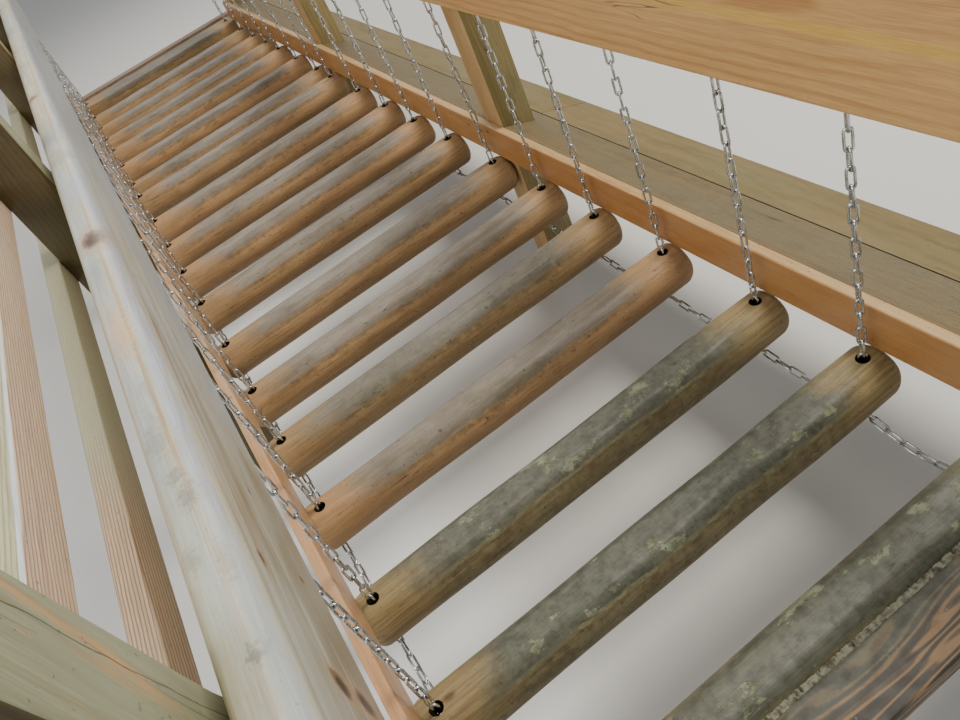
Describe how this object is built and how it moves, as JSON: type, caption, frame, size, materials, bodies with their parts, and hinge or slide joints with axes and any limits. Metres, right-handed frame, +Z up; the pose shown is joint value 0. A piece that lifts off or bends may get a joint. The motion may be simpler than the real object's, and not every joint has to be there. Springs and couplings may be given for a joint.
{
  "type": "hanging log footbridge",
  "caption": "Playground-style footbridge of round logs hung on chains between timber handrail beams on square posts, with side girders and a sloping kerb.",
  "frame": {"origin": "middle of the bridge's outline, on the level that the post feet stand on", "axes": "+Y along the walkway from the pictured near end to the far end, +X to the walker's right, +Z up"},
  "size_m": [1.9124, 6.63, 1.71],
  "materials": {
    "log_wood": "weathered round timber",
    "left_rail_wood": "bleached and worn smooth",
    "right_rail_wood": "satin, worn by hands",
    "girder_wood": "sawn, weathered",
    "post_wood": "weathered, greenish",
    "plank_wood": "weathered grey-tan, ribbed",
    "chain_steel": "galvanised"
  },
  "bodies": {
    "frame": {"left_handrail": "left_rail_wood", "right_handrail": "right_rail_wood", "left_girder": "girder_wood", "right_girder": "girder_wood", "left_post_1": "post_wood", "left_post_2": "post_wood", "left_post_3": "post_wood", "left_post_4": "post_wood", "right_post_1": "post_wood", "right_post_2": "post_wood", "right_post_3": "post_wood", "right_post_4": "post_wood", "inner_kerb_plank": "plank_wood", "outer_kerb_plank_near": "plank_wood", "outer_kerb_plank_far": "plank_wood", "kerb_bracket_1": "post_wood", "kerb_bracket_2": "post_wood", "kerb_bracket_3": "post_wood", "kerb_bracket_4": "post_wood", "side_rail_low": "plank_wood", "side_rail_high": "plank_wood", "near_sill_log": "log_wood", "near_threshold_plank": "plank_wood", "far_threshold_board": "plank_wood", "left_near_end_tie": "chain_steel", "right_near_end_tie": "chain_steel", "left_far_end_tie": "chain_steel", "right_far_end_tie": "chain_steel"},
    "log_01": {"log_01": "log_wood"},
    "log_02": {"log_02": "log_wood"},
    "log_03": {"log_03": "log_wood"},
    "log_04": {"log_04": "log_wood"},
    "log_05": {"log_05": "log_wood"},
    "log_06": {"log_06": "log_wood"},
    "log_07": {"log_07": "log_wood"},
    "log_08": {"log_08": "log_wood"},
    "log_09": {"log_09": "log_wood"},
    "log_10": {"log_10": "log_wood"},
    "log_11": {"log_11": "log_wood"},
    "log_12": {"log_12": "log_wood"},
    "log_13": {"log_13": "log_wood"},
    "log_14": {"log_14": "log_wood"},
    "log_15": {"log_15": "log_wood"},
    "log_16": {"log_16": "log_wood"},
    "log_17": {"log_17": "log_wood"},
    "log_18": {"log_18": "log_wood"},
    "tie_chains": {"left_tie_chain": "chain_steel", "right_tie_chain": "chain_steel"}
  },
  "joints": [
    {"name": "log_01_swing", "type": "hinge", "parent": "frame", "child": "log_01", "pos_m": [-0.10389, -2.707, 1.2167], "axis": [1, 0, 0], "range_deg": [-3, 3]},
    {"name": "log_02_swing", "type": "hinge", "parent": "frame", "child": "log_02", "pos_m": [-0.10389, -2.383, 1.2167], "axis": [1, 0, 0], "range_deg": [-3, 3]},
    {"name": "log_03_swing", "type": "hinge", "parent": "frame", "child": "log_03", "pos_m": [-0.10389, -2.025, 1.2167], "axis": [1, 0, 0], "range_deg": [-3, 3]},
    {"name": "log_04_swing", "type": "hinge", "parent": "frame", "child": "log_04", "pos_m": [-0.10389, -1.693, 1.2167], "axis": [1, 0, 0], "range_deg": [-3, 3]},
    {"name": "log_05_swing", "type": "hinge", "parent": "frame", "child": "log_05", "pos_m": [-0.10389, -1.386, 1.2167], "axis": [1, 0, 0], "range_deg": [-3, 3]},
    {"name": "log_06_swing", "type": "hinge", "parent": "frame", "child": "log_06", "pos_m": [-0.10389, -1.047, 1.2167], "axis": [1, 0, 0], "range_deg": [-3, 3]},
    {"name": "log_07_swing", "type": "hinge", "parent": "frame", "child": "log_07", "pos_m": [-0.10389, -0.674, 1.2167], "axis": [1, 0, 0], "range_deg": [-3, 3]},
    {"name": "log_08_swing", "type": "hinge", "parent": "frame", "child": "log_08", "pos_m": [-0.10389, -0.345, 1.2167], "axis": [1, 0, 0], "range_deg": [-3, 3]},
    {"name": "log_09_swing", "type": "hinge", "parent": "frame", "child": "log_09", "pos_m": [-0.10389, -0.025, 1.2167], "axis": [1, 0, 0], "range_deg": [-3, 3]},
    {"name": "log_10_swing", "type": "hinge", "parent": "frame", "child": "log_10", "pos_m": [-0.10389, 0.316, 1.2167], "axis": [1, 0, 0], "range_deg": [-3, 3]},
    {"name": "log_11_swing", "type": "hinge", "parent": "frame", "child": "log_11", "pos_m": [-0.10389, 0.714, 1.2167], "axis": [1, 0, 0], "range_deg": [-3, 3]},
    {"name": "log_12_swing", "type": "hinge", "parent": "frame", "child": "log_12", "pos_m": [-0.10389, 0.939, 1.2167], "axis": [1, 0, 0], "range_deg": [-3, 3]},
    {"name": "log_13_swing", "type": "hinge", "parent": "frame", "child": "log_13", "pos_m": [-0.10389, 1.305, 1.2167], "axis": [1, 0, 0], "range_deg": [-3, 3]},
    {"name": "log_14_swing", "type": "hinge", "parent": "frame", "child": "log_14", "pos_m": [-0.10389, 1.652, 1.2167], "axis": [1, 0, 0], "range_deg": [-3, 3]},
    {"name": "log_15_swing", "type": "hinge", "parent": "frame", "child": "log_15", "pos_m": [-0.10389, 1.925, 1.2167], "axis": [1, 0, 0], "range_deg": [-3, 3]},
    {"name": "log_16_swing", "type": "hinge", "parent": "frame", "child": "log_16", "pos_m": [-0.10389, 2.222, 1.2167], "axis": [1, 0, 0], "range_deg": [-3, 3]},
    {"name": "log_17_swing", "type": "hinge", "parent": "frame", "child": "log_17", "pos_m": [-0.10389, 2.537, 1.2167], "axis": [1, 0, 0], "range_deg": [-3, 3]},
    {"name": "log_18_swing", "type": "hinge", "parent": "frame", "child": "log_18", "pos_m": [-0.10389, 2.975, 1.2167], "axis": [1, 0, 0], "range_deg": [-3, 3]},
    {"name": "tie_chains_level", "type": "hinge", "parent": "log_09", "child": "tie_chains", "pos_m": [-0.10389, -0.025, 0.492], "axis": [1, 0, 0], "range_deg": [-3, 3]}
  ],
  "couplings": [
    {"joint": "log_01_swing", "follows": "log_09_swing", "ratio": 1},
    {"joint": "log_02_swing", "follows": "log_09_swing", "ratio": 1},
    {"joint": "log_03_swing", "follows": "log_09_swing", "ratio": 1},
    {"joint": "log_04_swing", "follows": "log_09_swing", "ratio": 1},
    {"joint": "log_05_swing", "follows": "log_09_swing", "ratio": 1},
    {"joint": "log_06_swing", "follows": "log_09_swing", "ratio": 1},
    {"joint": "log_07_swing", "follows": "log_09_swing", "ratio": 1},
    {"joint": "log_08_swing", "follows": "log_09_swing", "ratio": 1},
    {"joint": "log_10_swing", "follows": "log_09_swing", "ratio": 1},
    {"joint": "log_11_swing", "follows": "log_09_swing", "ratio": 1},
    {"joint": "log_12_swing", "follows": "log_09_swing", "ratio": 1},
    {"joint": "log_13_swing", "follows": "log_09_swing", "ratio": 1},
    {"joint": "log_14_swing", "follows": "log_09_swing", "ratio": 1},
    {"joint": "log_15_swing", "follows": "log_09_swing", "ratio": 1},
    {"joint": "log_16_swing", "follows": "log_09_swing", "ratio": 1},
    {"joint": "log_17_swing", "follows": "log_09_swing", "ratio": 1},
    {"joint": "log_18_swing", "follows": "log_09_swing", "ratio": 1},
    {"joint": "tie_chains_level", "follows": "log_09_swing", "ratio": -1}
  ]
}
